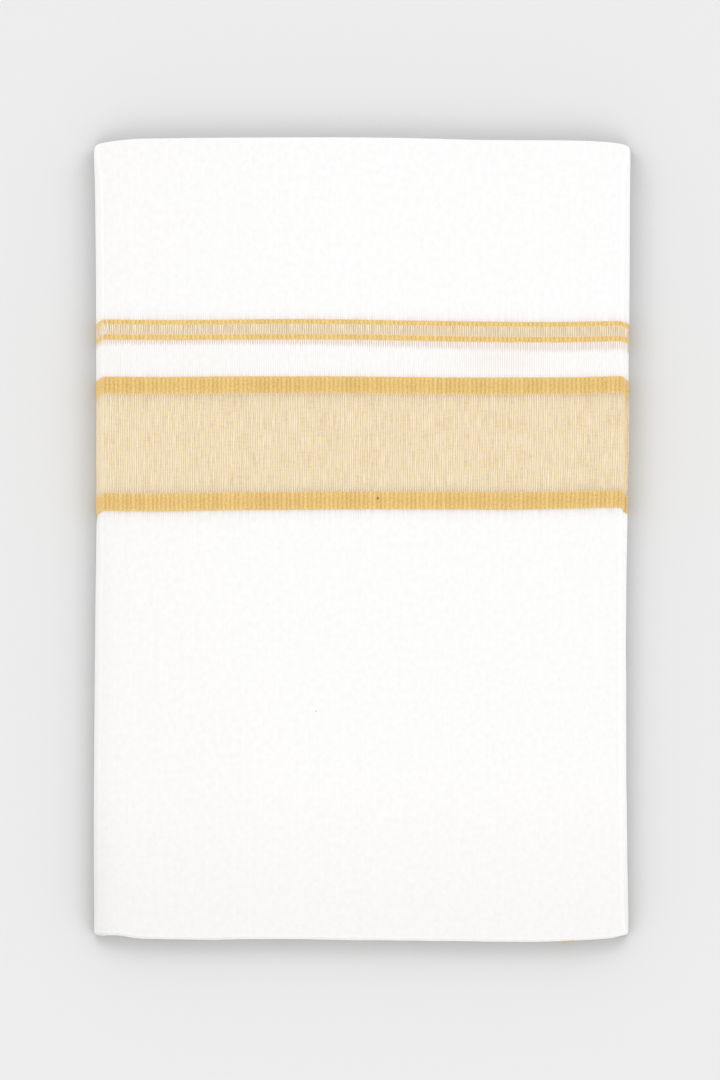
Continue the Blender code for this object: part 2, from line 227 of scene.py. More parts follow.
# The other selvedge, where it peeks out of the bottom fold
PEEK_LEFT = 0.0910
PEEK_RIGHT = 0.0985
PEEK_END = 0.0020
PEEK_LENGTH = 0.0104
PEEK_HEIGHT = 0.0021

# Pulled threads at the left end of the narrow border: places across and up the flap
PULLED_THREADS = (
    (
        (-0.1172, 0.0877),
        (-0.1168, 0.0862),
        (-0.1166, 0.0848),
        (-0.1170, 0.0831),
        (-0.1181, 0.0815),
        (-0.1188, 0.0802),
        (-0.1187, 0.0787),
    ),
    (
        (-0.1191, 0.0864),
        (-0.1184, 0.0856),
        (-0.1178, 0.0845),
        (-0.1180, 0.0830),
        (-0.1187, 0.0816),
        (-0.1190, 0.0806),
    ),
)
THREAD_RADIUS = 0.00017
THREAD_LIFT = 0.0001

# The view: almost flat on, from a little below the foot of the face
CAMERA_DISTANCE = 12.0
CAMERA_TILT = math.radians(10)
CAMERA_AIM = (-0.00073, -0.0001, 0.007)
FRAME_HEIGHT = 0.4930
SENSOR_HEIGHT = 36.0

# The light: a soft dome that is brightest low down, and a wide soft lamp high above the foot
DOME_LOW = 1.63
DOME_HIGH = 0.755
DOME_EDGE = 0.9
LAMP_PLACE = (-0.1, -0.25, 2.6)
LAMP_TURN = (0.0962, -0.0385, 0.0)
LAMP_SIZE = 1.6
LAMP_POWER = 5.25

# The shade that gathers on the floor close round the cloth, and is weaker past its two ends
FLOOR_DROP = 0.00005
SHADE_REACH = 0.024
SHADE_MIDDLE = 0.20
SHADE_SOFT = 0.32
FLOOR_SHADE = 0.29
END_SHADE_LESS = 0.07
END_SOFT = 0.016


def linear(red, green, blue):
    """A colour as it looks on screen, from 0 to 255, as the light that a surface sends back."""
    return tuple(
        ((c / 255 + 0.055) / 1.055) ** 2.4 if c > 10 else c / 255 / 12.92 for c in (red, green, blue)
    )


class DhotiSizes(bpy.types.PropertyGroup):
    ply: FloatProperty(
        name="Ply",
        description="Thickness of the plies that show",
        default=0.0003,
        min=0.0001,
        max=0.0006,
        precision=5,
        unit="LENGTH",
    )
    rib_pitch: FloatProperty(
        name="Rib pitch",
        description="Distance from one cord rib of the gold lines to the next",
        default=0.00198,
        min=0.001,
        max=0.004,
        precision=5,
        unit="LENGTH",
    )
    rib_rise: FloatProperty(
        name="Rib rise",
        description="How far the cord ribs stand up from the gold lines",
        default=0.0002,
        min=0.0,
        max=0.0004,
        precision=5,
        unit="LENGTH",
    )
    thread_pitch: FloatProperty(
        name="Thread pitch",
        description="Distance between the threads that show in the tissue",
        default=0.00103,
        min=0.0005,
        max=0.002,
        precision=5,
        unit="LENGTH",
    )
    floor_side: FloatProperty(
        name="Floor side",
        description="Length of each side of the plain floor",
        default=8.0,
        min=2.0,
        max=20.0,
        unit="LENGTH",
    )


def colour_property(name, description, default):
    return FloatVectorProperty(
        name=name, description=description, default=default, subtype="COLOR", size=3, min=0.0, max=1.0
    )


class DhotiColours(bpy.types.PropertyGroup):
    white_light: colour_property("White thread", "The cotton's lightest threads", linear(254.2, 254, 254))
    white_dark: colour_property("White gap", "Between the cotton's threads", linear(245.4, 244.8, 244))
    # The gold rib and groove colours carry a painted highlight on the rib tops and painted shade in the
    # grooves, as well as the gold yarn's own colour
    gold_light: colour_property("Gold rib", "Top of a rib in the gold lines", linear(248, 214, 140))
    gold_dark: colour_property("Gold groove", "Between the ribs of the gold lines", linear(206, 166, 94))
    tissue_light: colour_property("Tissue thread", "The tissue's lightest threads", linear(253, 240, 218))
    tissue_dark: colour_property("Tissue gap", "Between the tissue's threads", linear(222, 198, 156))
    shadow_thread: colour_property("Shaded thread", "The hidden border, seen through", linear(224, 201, 182))
    floor: colour_property("Floor", "The plain floor", linear(233.5, 233.5, 233.5))


class Reading:
    """A number that is read over a surface, so that maths on it is written as it is spoken."""

    def __init__(self, finish, socket):
        self.finish = finish
        self.socket = socket

    def maths(self, operation, *values):
        node = self.finish.add("ShaderNodeMath", {"operation": operation}, dict(enumerate(values)))
        return Reading(self.finish, node.outputs[0])

    def __add__(self, other):
        return self.maths("ADD", self, other)

    __radd__ = __add__

    def __sub__(self, other):
        return self.maths("SUBTRACT", self, other)

    def __rsub__(self, other):
        return self.maths("SUBTRACT", other, self)

    def __mul__(self, other):
        return self.maths("MULTIPLY", self, other)

    __rmul__ = __mul__

    def __truediv__(self, other):
        return self.maths("DIVIDE", self, other)

    def __neg__(self):
        return self.maths("MULTIPLY", self, -1.0)

    def size(self):
        return self.maths("ABSOLUTE", self)

    def whole(self):
        return self.maths("FLOOR", self)

    def least(self, other):
        return self.maths("MINIMUM", self, other)

    def most(self, other):
        return self.maths("MAXIMUM", self, other)

    def wave(self, length):
        """From 0 to 1 and back, once in each length."""
        return self.maths("COSINE", self * (2 * math.pi / length)) * 0.5 + 0.5

    def above(self, edge, soft):
        """0 below an edge and 1 above it, over a soft distance."""
        sockets = {"Value": self, "From Min": edge - soft / 2, "From Max": edge + soft / 2}
        node = self.finish.add("ShaderNodeMapRange", {"interpolation_type": "SMOOTHSTEP"}, sockets)
        return Reading(self.finish, node.outputs["Result"])

    def fading(self, distance):
        """1 at zero, and less and less over a distance on both sides of it."""
        return self.maths("EXPONENT", self.size() * (-1 / distance))


class Nodes:
    """A tree of nodes, and the one way in which more are added to it."""

    def __init__(self, tree):
        self.tree = tree

    def add(self, kind, settings, sockets):
        """A node of any kind: its settings first, and then the values or links of its sockets."""
        node = self.tree.nodes.new(kind)
        for name, value in settings.items():
            setattr(node, name, value)
        for socket, value in sockets.items():
            self.feed(node.inputs[socket], value)
        return node

    def feed(self, socket, value):
        if isinstance(value, Reading):
            value = value.socket
        if isinstance(value, bpy.types.NodeSocket):
            self.tree.links.new(value, socket)
        else:
            socket.default_value = value


class Finish(Nodes):
    """One procedural material: its nodes, and the shader that they feed."""

    def __init__(self, name, settings):
        self.material = bpy.data.materials.new(name)
        self.material.use_nodes = True
        super().__init__(self.material.node_tree)
        self.shader = self.tree.nodes["Principled BSDF"]
        for socket, value in settings.items():
            self.shader.inputs[socket].default_value = value

    def places(self):
        """Across and up the flat cloth, in millimetres, from its own map."""
        cloth_map = self.add("ShaderNodeUVMap", {"uv_map": "UVMap"}, {})
        parts = self.add("ShaderNodeSeparateXYZ", {}, {"Vector": cloth_map.outputs["UV"]})
        across, up = (Reading(self, parts.outputs[name]) for name in ("X", "Y"))
        return across * MILLIMETRES, up * MILLIMETRES

    def noise(self, across, along, detail=1.0):
        """Soft uneven values around 0.5, over two readings that are already scaled."""
        place = self.add("ShaderNodeCombineXYZ", {}, {"X": across, "Y": along})
        node = self.add(
            "ShaderNodeTexNoise",
            {"noise_dimensions": "2D"},
            {"Vector": place.outputs["Vector"], "Scale": 1.0, "Detail": detail},
        )
        return Reading(self, node.outputs[0])

    def chance(self, reading):
        """An even random value from 0 to 1 for each whole number."""
        node = self.add("ShaderNodeTexWhiteNoise", {"noise_dimensions": "1D"}, {"W": reading})
        return Reading(self, node.outputs["Value"])

    def mixed(self, share, first, second):
        """A colour between two others."""
        first = (*first, 1) if isinstance(first, tuple) else first
        second = (*second, 1) if isinstance(second, tuple) else second
        settings = {"data_type": "RGBA", "clamp_factor": True}
        return self.add("ShaderNodeMix", settings, {0: share, 6: first, 7: second}).outputs[2]

    def finished(self, colour, roughness, height, depth):
        """Feeds the shader: a colour, a roughness, and a relief of a depth in metres."""
        self.feed(self.shader.inputs["Base Color"], colour)
        self.feed(self.shader.inputs["Roughness"], roughness)
        bump = self.add("ShaderNodeBump", {}, {"Strength": 1.0, "Distance": depth, "Height": height})
        self.feed(self.shader.inputs["Normal"], bump.outputs["Normal"])
        return self.material


def kept(colour):
    """A colour property as a plain tuple."""
    return tuple(colour)


def threads(finish, across, up, pitch):
    """Threads that run up the cloth: light on each one, darker between, no two quite alike."""
    wander = finish.noise(across * 0.13, up * 0.11) - 0.5
    walked = across + wander * 0.5
    light = walked.wave(pitch)
    own = finish.chance((walked / pitch).whole())
    slub = finish.noise(walked / pitch * 0.65, up * 0.35, 3.0)
    return light, own, slub


def white_cotton(finish, across, up, pitch, colours):
    """Plain cotton: hairlines between its threads, over a fine grain and a soft mottle."""
    light, own, slub = threads(finish, across, up, pitch)
    mottle = finish.noise(across * 0.42, up * 0.33, 2.0) - 0.5
    grain = finish.noise(across * 1.3, up * 1.0, 1.0) - 0.5
    tone = 0.35 + light * 0.25 + own * 0.07 + (slub - 0.5) * 0.28 + grain * 0.30 + mottle * 0.85
    colour = finish.mixed(tone, kept(colours.white_dark), kept(colours.white_light))
    return colour, tone


def border_threads(finish, colour, distance, reach, light, own, colours):
    """Tinted threads that run a little way out of a woven edge into the white."""
    comb = (1 - light) * 0.7 + (1 - own) * 0.6
    share = distance.fading(reach) * comb * 0.60
    return finish.mixed(share, colour, kept(colours.shadow_thread))


def banded_finish(name, colours, sizes):
    """The flap's cloth, and that of all layers that the borders run across."""
    finish = Finish(name, {"Sheen Weight": 0.08, "Sheen Roughness": 0.5, "Specular IOR Level": 0.25})
    across, up = finish.places()
    pitch = sizes.thread_pitch * MILLIMETRES
    rib = sizes.rib_pitch * MILLIMETRES
    white, white_tone = white_cotton(finish, across, up, pitch, colours)
    light, own, slub = threads(finish, across, up, pitch)

    # Ribbed gold lines, darker along their middles. Their colour is partly painted light: the rib tops are
    # painted lighter and the grooves painted darker, over the ribs' real relief, mixed with the yarn's own
    # random tone
    rib_wave = across.wave(rib)
    rib_own = finish.chance((across / rib + 0.5).whole())
    fine = finish.noise(across * 1.3, up * 1.1, 2.0) - 0.5
    lower, upper = (((up - line) / GOLD_HALF).size() for line in GOLD_MIDDLES)
    middle = lower.least(upper).least(1.0)
    # The rib wave paints a highlight on the rib tops and shade in the grooves
    gold_tone = rib_wave * 0.38 + (rib_own - 0.5) * 0.22 + fine * 1.0 + middle * middle * 0.16 + 0.28
    gold = finish.mixed(gold_tone, kept(colours.gold_dark), kept(colours.gold_light))

    # Tissue, with barer threads beside the gold lines
    weft = finish.noise(across * 0.24, up * 1.2, 2.0) - 0.5
    broad = finish.noise(across * 0.09, up * 0.07, 1.0) - 0.5
    fibre = finish.noise(across * 2.3, up * 0.11, 1.0) - 0.5
    combed = (light - 0.5) * (own * 0.5 + 0.70 + broad * 0.9)
    tissue_tone = combed + (own - 0.5) * 0.16 + fibre * 1.7 + weft * 0.75 + broad * 0.15 + 0.46
    tissue = finish.mixed(tissue_tone, kept(colours.tissue_dark), kept(colours.tissue_light))
    tissue = finish.mixed((weft + 0.03) * 2.7, tissue, linear(241, 216, 152))
    weave = (light, own, slub, fibre)
    return finish, across, up, (white, white_tone), (gold, gold_tone, rib_wave), tissue, weave


def cloth_finish(name, banded):
    """The woven cotton, with or without the borders across it."""
    made = bpy.data.materials.get(name)
    if made:
        return made
    colours = bpy.context.scene.dhoti_colours
    sizes = bpy.context.scene.dhoti_sizes
    finish, across, up, white, gold, field, weave = banded_finish(name, colours, sizes)
    cotton, cotton_tone = white
    gold, gold_tone, rib_wave = gold
    light, own, slub, fibre = weave

    # Painted shade: the white is a little warmer and darker down the lower left and towards the bottom fold,
    # and a little greyer close to the leaning left side, most towards the bottom
    down = up * -1
    low = down.above(70.0, 260.0) * 1.4 + down.above(160.0, 90.0) * 3.2
    left = (across * -1).above(60.0, 110.0) * 1.6
    side = down.above(-40.0, 200.0) * 5.4 + down.above(150.0, 80.0) * 7.0 + 2.7
    side = (across + 121.0).most(0.0).fading(5.2) * side
    # Painted shade, warm and dark, over the lower left and along the bottom fold
    cotton = finish.mixed((low + left) * 0.025, cotton, linear(211, 196, 184))
    # Painted shade, grey, along the leaning left side
    cotton = finish.mixed(side * 0.025, cotton, linear(211, 209.5, 207))
    if not banded:
        # Tinted threads just under the flap's selvedge, a grey dot and a yellowish mark
        cotton = border_threads(finish, cotton, up, 2.1, light, own, colours)
        dot = spot(finish, across, up, (-20.8, -93.2), 0.45)
        cotton = finish.mixed(dot * 0.45, cotton, linear(150, 145, 140))
        mark = spot(finish, across, up, (-37.7, -17.6), 1.1)
        cotton = finish.mixed(mark * 0.35, cotton, linear(246, 236, 205))
        return finish.finished(cotton, cotton_tone * 0.1 + 0.82, cotton_tone, 0.00006)

    # The woven edges, a little uneven with the ribs
    tooth = (rib_wave - 0.5) * 0.22
    edges = [
        (up + tooth * way).above(edge * MILLIMETRES, EDGE_SOFT)
        for edge, way in (
            (GOLD_FOOT_TOP, 1),
            (TISSUE_TOP, 1),
            (WIDE_TOP, -1),
            (NARROW_FOOT, 1),
            (NARROW_TISSUE_FOOT, -1),
            (NARROW_TISSUE_TOP, 1),
            (NARROW_TOP, -1),
        )
    ]

    # The single cloth between the borders shows more of its threads
    between = edges[2] * (1 - edges[3])
    cotton = finish.mixed(between * (1 - light) * (fibre * 0.7 + 0.20), cotton, linear(234, 222, 206))

    # Threads of the hidden border that show below the narrow one: to the right further down, and fainter
    below = NARROW_FOOT * MILLIMETRES - up
    width = (across + 60.0).most(0.0).least(150.0) * 0.0175 + 1.3 + own * 0.9
    strip = (1 - (below - width).above(-0.1, 3.2)) * below.above(-0.1, 0.2)
    strip = strip * (1 - (across + 80.0).most(0.0).least(125.0) * 0.0023)
    comb = (1 - light) * 1.35 + (1 - own) * 0.25 + (1 - slub) * 0.30 - fibre * 1.2 - 0.22
    cotton = finish.mixed(strip * comb, cotton, kept(colours.shadow_thread))

    # A faint brownish patch of them lies further right in the white gap
    patch_across = ((across - 65.0) / 22.0).size()
    patch_up = ((up - 69.5) / 6.0).size()
    patch = (1 - patch_across.above(0.8, 1.0)) * (1 - patch_up.above(0.8, 1.0))
    cotton = finish.mixed(patch * comb * 0.20, cotton, kept(colours.shadow_thread))
    for edge, reach in ((NARROW_TOP, 1.6), (WIDE_TOP, 1.2)):
        past = up - edge * MILLIMETRES
        cotton = border_threads(finish, cotton, past, reach, light, own, colours)

    # The tissue's threads are barer beside the wide gold lines, and all up the narrow field
    for edge, reach, tint in (
        (TISSUE_TOP, 2.0, linear(200, 172, 138)),
        (GOLD_FOOT_TOP, 1.6, linear(202, 176, 152)),
    ):
        share = (up - edge * MILLIMETRES).fading(reach) * ((1 - light) * 0.9 + (1 - own) * 0.5)
        field = finish.mixed(share * 0.80, field, tint)
    inner = (up - NARROW_MIDDLE).size()
    share = (1 - inner.above(2.6, 0.6)) * ((1 - light) * 0.75 + (1 - own) * 0.20 - fibre * 1.6 - 0.20)
    field = finish.mixed(share, field, linear(206, 180, 150))

    gold_share = up.above(-0.2, 0.1) - edges[0] + edges[1] * (1 - edges[2])
    gold_share = gold_share + edges[3] * (1 - edges[4]) + edges[5] * (1 - edges[6])
    tissue_share = edges[0] * (1 - edges[1]) + edges[4] * (1 - edges[5])
    colour = finish.mixed(tissue_share, cotton, field)
    colour = finish.mixed(gold_share, colour, gold)

    # A dark fleck on the lower gold line
    fleck = spot(finish, across * 1.6, up, (7.5 * 1.6, 4.9), 0.75)
    colour = finish.mixed(fleck * 0.9, colour, linear(92, 62, 30))

    roughness = 0.86 - gold_share * 0.30 - tissue_share * 0.12
    relief = cotton_tone * 0.5 + gold_share * gold_tone * 1.4 + tissue_share * (light * own) * 1.2
    return finish.finished(colour, roughness, relief, 0.00009)


def spot(finish, across, up, middle, radius):
    """A small soft mark at a place."""
    aside = across - middle[0]
    above = up - middle[1]
    away = aside * aside + above * above
    return 1 - away.above(radius * radius * 0.75, radius * radius)


def through(table, column, at):
    """A smooth curve through one column of a table, held level past its ends."""
    places = np.array([row[0] for row in table])
    values = np.array([row[column] for row in table])
    slopes = np.gradient(values, places)
    at = np.clip(at, places[0], places[-1])
    i = np.clip(np.searchsorted(places, at) - 1, 0, len(places) - 2)
    span = places[i + 1] - places[i]
    t = (at - places[i]) / span
    rise = values[i + 1] - values[i]
    start = slopes[i] * span
    end = slopes[i + 1] * span
    return values[i] + t * start + t * t * (3 * rise - 2 * start - end) + t**3 * (start + end - 2 * rise)


def smooth(t):
    t = np.clip(t, 0.0, 1.0)
    return t * t * (3 - 2 * t)


def placed(x, y, z):
    """Points of the even rectangle, moved to the cloth's own slightly waisted outline."""
    half = np.where(x < 0, through(SIDES, 1, y), through(SIDES, 2, y))
    into_corner = np.clip((np.abs(y) - (HALF_LENGTH - CORNER_RADIUS)) / CORNER_RADIUS, 0.0, 1.0)
    half = half - CORNER_RADIUS * (1 - np.sqrt(1 - into_corner**2))
    moved_x = x * half / HALF_WIDTH

    squared = smooth((y - HALF_LENGTH + SQUARE_REACH) / SQUARE_REACH) * SQUARE_SHARE
    moved_x = moved_x + squared * SIDE_LEAN * z * (moved_x / half) ** SQUARE_POWER
    reach = smooth((np.abs(y) - HALF_LENGTH + END_REACH) / END_REACH)
    end = np.where(y > 0, through(ENDS, 1, moved_x), through(ENDS, 2, moved_x)) - HALF_LENGTH
    return moved_x, y + np.sign(y) * reach * end, z + 0 * x


def relief(table, x, y):
    """Depth of the pressed lines, troughs and ridges at points of the face."""
    depth = np.zeros_like(x)
    for x0, y0, x1, y1, deep, half_width in table:
        length = math.hypot(x1 - x0, y1 - y0)
        along = ((x - x0) * (x1 - x0) + (y - y0) * (y1 - y0)) / length**2
        bow = 0.35 * half_width * np.sin(along * 7.0 + x0 * 90)
        away = np.abs((x1 - x0) * (y - y0) - (y1 - y0) * (x - x0)) / length
        fade = smooth(along / 0.2) * smooth((1 - along) / 0.2)
        depth += deep * fade * (1 - smooth(np.abs(away - bow) / half_width))
    return depth


def flap_height(y):
    return float(through(FLAP_HEIGHTS, 1, y))


def front_height(y):
    """The front's outer ply, which runs on just under the flap."""
    if y >= FRONT_HEIGHTS[-1][0]:
        return flap_height(y) - UNDER_FLAP
    return float(through(FRONT_HEIGHTS, 1, y))


def front_tuck(y):
    share = float(smooth((y - TUCK_FOOT) / (TUCK_TOP - TUCK_FOOT)))
    return TUCK_BELOW + (TUCK_UNDER - TUCK_BELOW) * share


def wrap_end(y):
    """Where the outer ply ends on the right, just above the packages below its own."""
    share = 1 - PACKAGES[-1][0] / SETS
    return share * float(through(PACKAGE_HEIGHTS, 1, y)) + WRAP_GAP


def leaning_side(half, height, foot, rise, rounding):
    """Up a leaning side and round onto the top, from where its ply has turned in under itself."""
    lean = math.atan(SIDE_LEAN)
    swung = np.linspace(-math.pi / 2, lean, LINE_STEPS)
    half = half + TURN_OUT
    middle_z = foot + TURN_ROUND
    middle_x = half - SIDE_LEAN * middle_z - TURN_ROUND / math.cos(lean)
    side = [(middle_x - TURN_LAP, foot)]
    side += [(middle_x + TURN_ROUND * math.cos(a), middle_z + TURN_ROUND * math.sin(a)) for a in swung]
    bend = np.array((half - SIDE_LEAN * (height - rise), height - rise))
    corner = np.array((half - SIDE_LEAN * height, height))
    end = corner - (rounding, 0)
    for z in np.linspace(side[-1][1], height - rise, LINE_STEPS)[1:]:
        side.append((half - SIDE_LEAN * z, z))
    for t in np.linspace(0, 1, LINE_STEPS)[1:]:
        side.append(tuple((1 - t) ** 2 * bend + 2 * t * (1 - t) * corner + t * t * end))
    return np.array(side)


def line_across(height, tuck, nose_end):
    """The outer ply's line across the dhoti, from under its left side to under its right fold."""
    half = HALF_WIDTH - tuck
    left = leaning_side(half, height, 0.0, SIDE_RISE, SIDE_ROUND) * (-1, 1)
    right = leaning_side(half, height, nose_end, NOSE_RISE, NOSE_ROUND)
    return np.concatenate([left, right[::-1]])


def walked_along(line):
    """The way walked along a line to each of its points, from its middle."""
    walked = np.concatenate([[0], np.cumsum(np.hypot(*np.diff(line, axis=0).T))])
    last_left = len(line) // 2 - 1
    return walked - walked[last_left] + line[last_left, 0]


def laid_across(section, across):
    """Where places across the flat cloth come to lie, as x and z, with the ways that they face."""
    line = line_across(*section)
    walked = walked_along(line)
    flat = HALF_WIDTH - SIDE_REACH
    left = np.clip((-across - flat) / (-across[0] - flat), 0, 1)
    right = np.clip((across - flat) / (across[-1] - flat), 0, 1)
    at = np.clip(across, -flat, flat) + left * (walked[0] + flat) + right * (walked[-1] - flat)
    ways = np.gradient(line, walked, axis=0)
    points = np.column_stack([np.interp(at, walked, line[:, k]) for k in (0, 1)])
    facing = np.column_stack([np.interp(at, walked, ways[:, k]) for k in (0, 1)])
    facing /= np.hypot(*facing.T)[:, None]
    return points, np.column_stack([-facing[:, 1], facing[:, 0]])


def spread(first, last, step):
    """Even places from one to another, about a step apart."""
    return list(np.linspace(first, last, max(int(round((last - first) / step)), 1) + 1))


def places_across(step):
    """Places across the flat cloth, closer together round its turned sides."""
    walked = walked_along(line_across(flap_height(0.05), 0.0, wrap_end(0.05)))
    left, right = float(walked[0]), float(walked[-1])
    edge = HALF_WIDTH - SIDE_REACH
    fine = min(step, 0.0005)
    places = spread(left, -edge, fine)[:-1] + spread(-edge, edge, step)[:-1] + spread(edge, right, fine)
    return np.array(places)


def cut_cloth(name, across, along):
    """A flat sheet cut to its size, with a point for each place across and along it."""
    bpy.ops.object.select_all(action="DESELECT")
    bpy.ops.mesh.primitive_grid_add(
        x_subdivisions=len(across) - 1, y_subdivisions=len(along) - 1, size=1.0, location=(0, 0, 0)
    )
    cloth = bpy.context.object
    cloth.name = name
    cloth.data.name = name
    flat = np.empty(len(cloth.data.vertices) * 3)
    cloth.data.vertices.foreach_get("co", flat)
    flat = flat.reshape(-1, 3)
    column = np.rint((flat[:, 0] + 0.5) * (len(across) - 1)).astype(int)
    row = np.rint((flat[:, 1] + 0.5) * (len(along) - 1)).astype(int)
    return cloth, column, row


def laid(cloth, column, row, points, cloth_map):
    """Moves a cut cloth's points to where they lie, and keeps its flat places as its map."""
    cloth.data.vertices.foreach_set("co", points[row, column].ravel())
    corners = np.empty(len(cloth.data.loops), dtype=int)
    cloth.data.loops.foreach_get("vertex_index", corners)
    places = cloth_map[row[corners], column[corners]]
    cloth.data.uv_layers["UVMap"].data.foreach_set("uv", places.ravel())
    cloth.data.update()


def thickened(cloth, thickness):
    """Gives a laid sheet its thickness inwards, and smooth shading."""
    solid = cloth.modifiers.new("Ply", "SOLIDIFY")
    solid.thickness = thickness
    solid.offset = -1.0
    solid.use_even_offset = False
    bpy.ops.object.modifier_apply(modifier=solid.name)
    bpy.ops.object.shade_smooth_by_angle(angle=math.radians(50))


def ribs(across, up, sizes):
    """How far the cord ribs of the gold lines stand up at places of the flap."""
    wave = 0.5 + 0.5 * np.cos(2 * math.pi * across / sizes.rib_pitch)
    share = np.zeros_like(up)
    lines = (
        (0.0, GOLD_FOOT_TOP),
        (TISSUE_TOP, WIDE_TOP),
        (NARROW_FOOT, NARROW_TISSUE_FOOT),
        (NARROW_TISSUE_TOP, NARROW_TOP),
    )
    for foot, top in lines:
        inside = np.minimum(up - foot, top - up)
        share = np.maximum(share, smooth((inside + 0.0001) / 0.0005))
    return sizes.rib_rise * wave * share


def woven_y(up, x):
    """Where a woven distance from the selvedge comes to lie up the face, across it."""
    knots = (0.0, WIDE_TOP, NARROW_FOOT, NARROW_TOP, FLAP_FOLD)
    lines = [through(WOVEN_EDGES, k, x) for k in (1, 2, 3, 4)]
    lines.append(np.full_like(x, HALF_LENGTH - FOLD_RADIUS))
    k = int(np.clip(np.searchsorted(knots, up) - 1, 0, len(knots) - 2))
    share = (up - knots[k]) / (knots[k + 1] - knots[k])
    return lines[k] * (1 - share) + lines[k + 1] * share


def round_fold(past):
    """How far a ply that has passed the line of a fold runs on, and how deep it has turned."""
    angle = min(max(past, 0.0) / FOLD_RADIUS, math.pi)
    back = max(past - math.pi * FOLD_RADIUS, 0.0)
    return FOLD_RADIUS * math.sin(angle) - back, FOLD_RADIUS * (1 - math.cos(angle))


def flap_rows():
    """Woven distances up the flap: close together at the edges of the gold lines and at the fold."""
    rows = []
    for foot, top, step in (
        (0.0, GOLD_FOOT_TOP, 0.0016),
        (TISSUE_TOP, WIDE_TOP, 0.0016),
        (NARROW_FOOT, NARROW_TISSUE_FOOT, 0.0010),
        (NARROW_TISSUE_TOP, NARROW_TOP, 0.0010),
    ):
        rows += [foot, foot + 0.0002, foot + 0.0004]
        rows += spread(foot + 0.0004, top - 0.0004, step)[1:-1]
        rows += [top - 0.0004, top - 0.0002, top]
    rows += spread(GOLD_FOOT_TOP, TISSUE_TOP, 0.0060)[1:-1]
    rows += spread(WIDE_TOP, NARROW_FOOT, 0.0045)[1:-1]
    rows += spread(NARROW_TISSUE_FOOT, NARROW_TISSUE_TOP, 0.0022)[1:-1]
    rows += spread(NARROW_TOP, FLAP_FOLD - 0.0050, 0.0065)[1:]
    rows += [FLAP_FOLD - 0.0032, FLAP_FOLD - 0.0018, FLAP_FOLD - 0.0008, FLAP_FOLD]
    turn = math.pi * FOLD_RADIUS
    rows += [FLAP_FOLD + turn * k / 6 for k in range(1, 7)] + [FLAP_FOLD + turn + FOLD_LAP]
    return np.array(sorted(rows))


def flap_points(across, along, sizes, lift=0.0):
    """Where the flap's places lie, row by row."""
    rows = []
    for up in along:
        forward, depth = round_fold(up - FLAP_FOLD)
        middle = float(woven_y(min(up, FLAP_FOLD), np.zeros(1))[0])
        section = (flap_height(middle), 0.0, wrap_end(middle))
        points, facing = laid_across(section, across)
        y = woven_y(min(up, FLAP_FOLD), points[:, 0]) + forward
        depth = depth + relief(FLAP_RELIEF, points[:, 0], y) * (up < FLAP_FOLD)
        depth = depth - ribs(across, np.full_like(across, up), sizes) - lift
        points = points - facing * depth[:, None]
        rows.append(np.column_stack(placed(points[:, 0], y, points[:, 1])))
    return np.array(rows)


class DHOTI_OT_flap(bpy.types.Operator):
    """Folds the flap: one ply from the selvedge up to the top fold, with both woven borders"""

    bl_idname = "dhoti.flap"
    bl_label = "Flap"

    def execute(self, context):
        sizes = context.scene.dhoti_sizes
        across = places_across(sizes.rib_pitch / 4)
        along = flap_rows()
        cloth, column, row = cut_cloth("flap_cloth", across, along)
        flat = np.stack(np.meshgrid(across, along), axis=-1)
        laid(cloth, column, row, flap_points(across, along, sizes), flat)
        thickened(cloth, sizes.ply)
        cloth.data.materials.append(cloth_finish("banded_cotton", True))
        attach(cloth, "root")
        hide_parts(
            "flap_body",
            "flap_gap",
            "narrow_gold_upper",
            "narrow_tissue",
            "narrow_gold_lower",
            "wide_gold_upper",
            "wide_tissue",
            "wide_gold_selvedge",
        )
        return {"FINISHED"}


def front_rows():
    """Distances up the front from the line of the bottom fold."""
    turn = math.pi * FOLD_RADIUS
    rows = [-turn - FOLD_LAP] + [-turn * k / 6 for k in range(6, 0, -1)]
    rows += [0.0, 0.0008, 0.0018, 0.0032]
    top = FRONT_LAP_TOP + HALF_LENGTH - FOLD_RADIUS
    tuck = HALF_LENGTH - FOLD_RADIUS + TUCK_FOOT
    rows += spread(0.0050, tuck, 0.0022) + spread(tuck, tuck + 0.004, 0.0010)[1:]
    rows += spread(tuck + 0.004, top, 0.0045)[1:]
    return np.array(rows)


class DHOTI_OT_front(bpy.types.Operator):
    """Folds the lower front: one ply from under the flap down to the bottom fold"""

    bl_idname = "dhoti.front"
    bl_label = "Lower front"

    def execute(self, context):
        sizes = context.scene.dhoti_sizes
        across = places_across(0.0022)
        along = front_rows()
        cloth, column, row = cut_cloth("front_cloth", across, along)
        rows, maps = [], []
        for up in along:
            forward, depth = round_fold(-up)
            y = -(HALF_LENGTH - FOLD_RADIUS) + max(up, 0.0) - forward
            section = (front_height(y), front_tuck(y), wrap_end(y))
            points, facing = laid_across(section, across)
            depth = depth + relief(FRONT_RELIEF, points[:, 0], np.full_like(across, y)) * (up > 0)
            lying = points - facing * depth[:, None]
            rows.append(np.column_stack(placed(lying[:, 0], np.full_like(across, y), lying[:, 1])))
            below = up - (HALF_LENGTH - FOLD_RADIUS) - through(WOVEN_EDGES, 1, points[:, 0])
            maps.append(np.column_stack([across, below]))
        laid(cloth, column, row, np.array(rows), np.array(maps))
        thickened(cloth, sizes.ply)
        cloth.data.materials.append(cloth_finish("plain_cotton", False))
        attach(cloth, "root")
        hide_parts("lower_front")
        return {"FINISHED"}


def unevenness(along, seed):
    """How far back a layer's edge wanders along a side, from -1 to 1."""
    wave = np.sin(along * 31 + seed * 2.4) + 0.7 * np.sin(along * 74 + seed * 4.1)
    return (wave + 0.5 * np.sin(along * 163 + seed * 1.3)) / 2.2


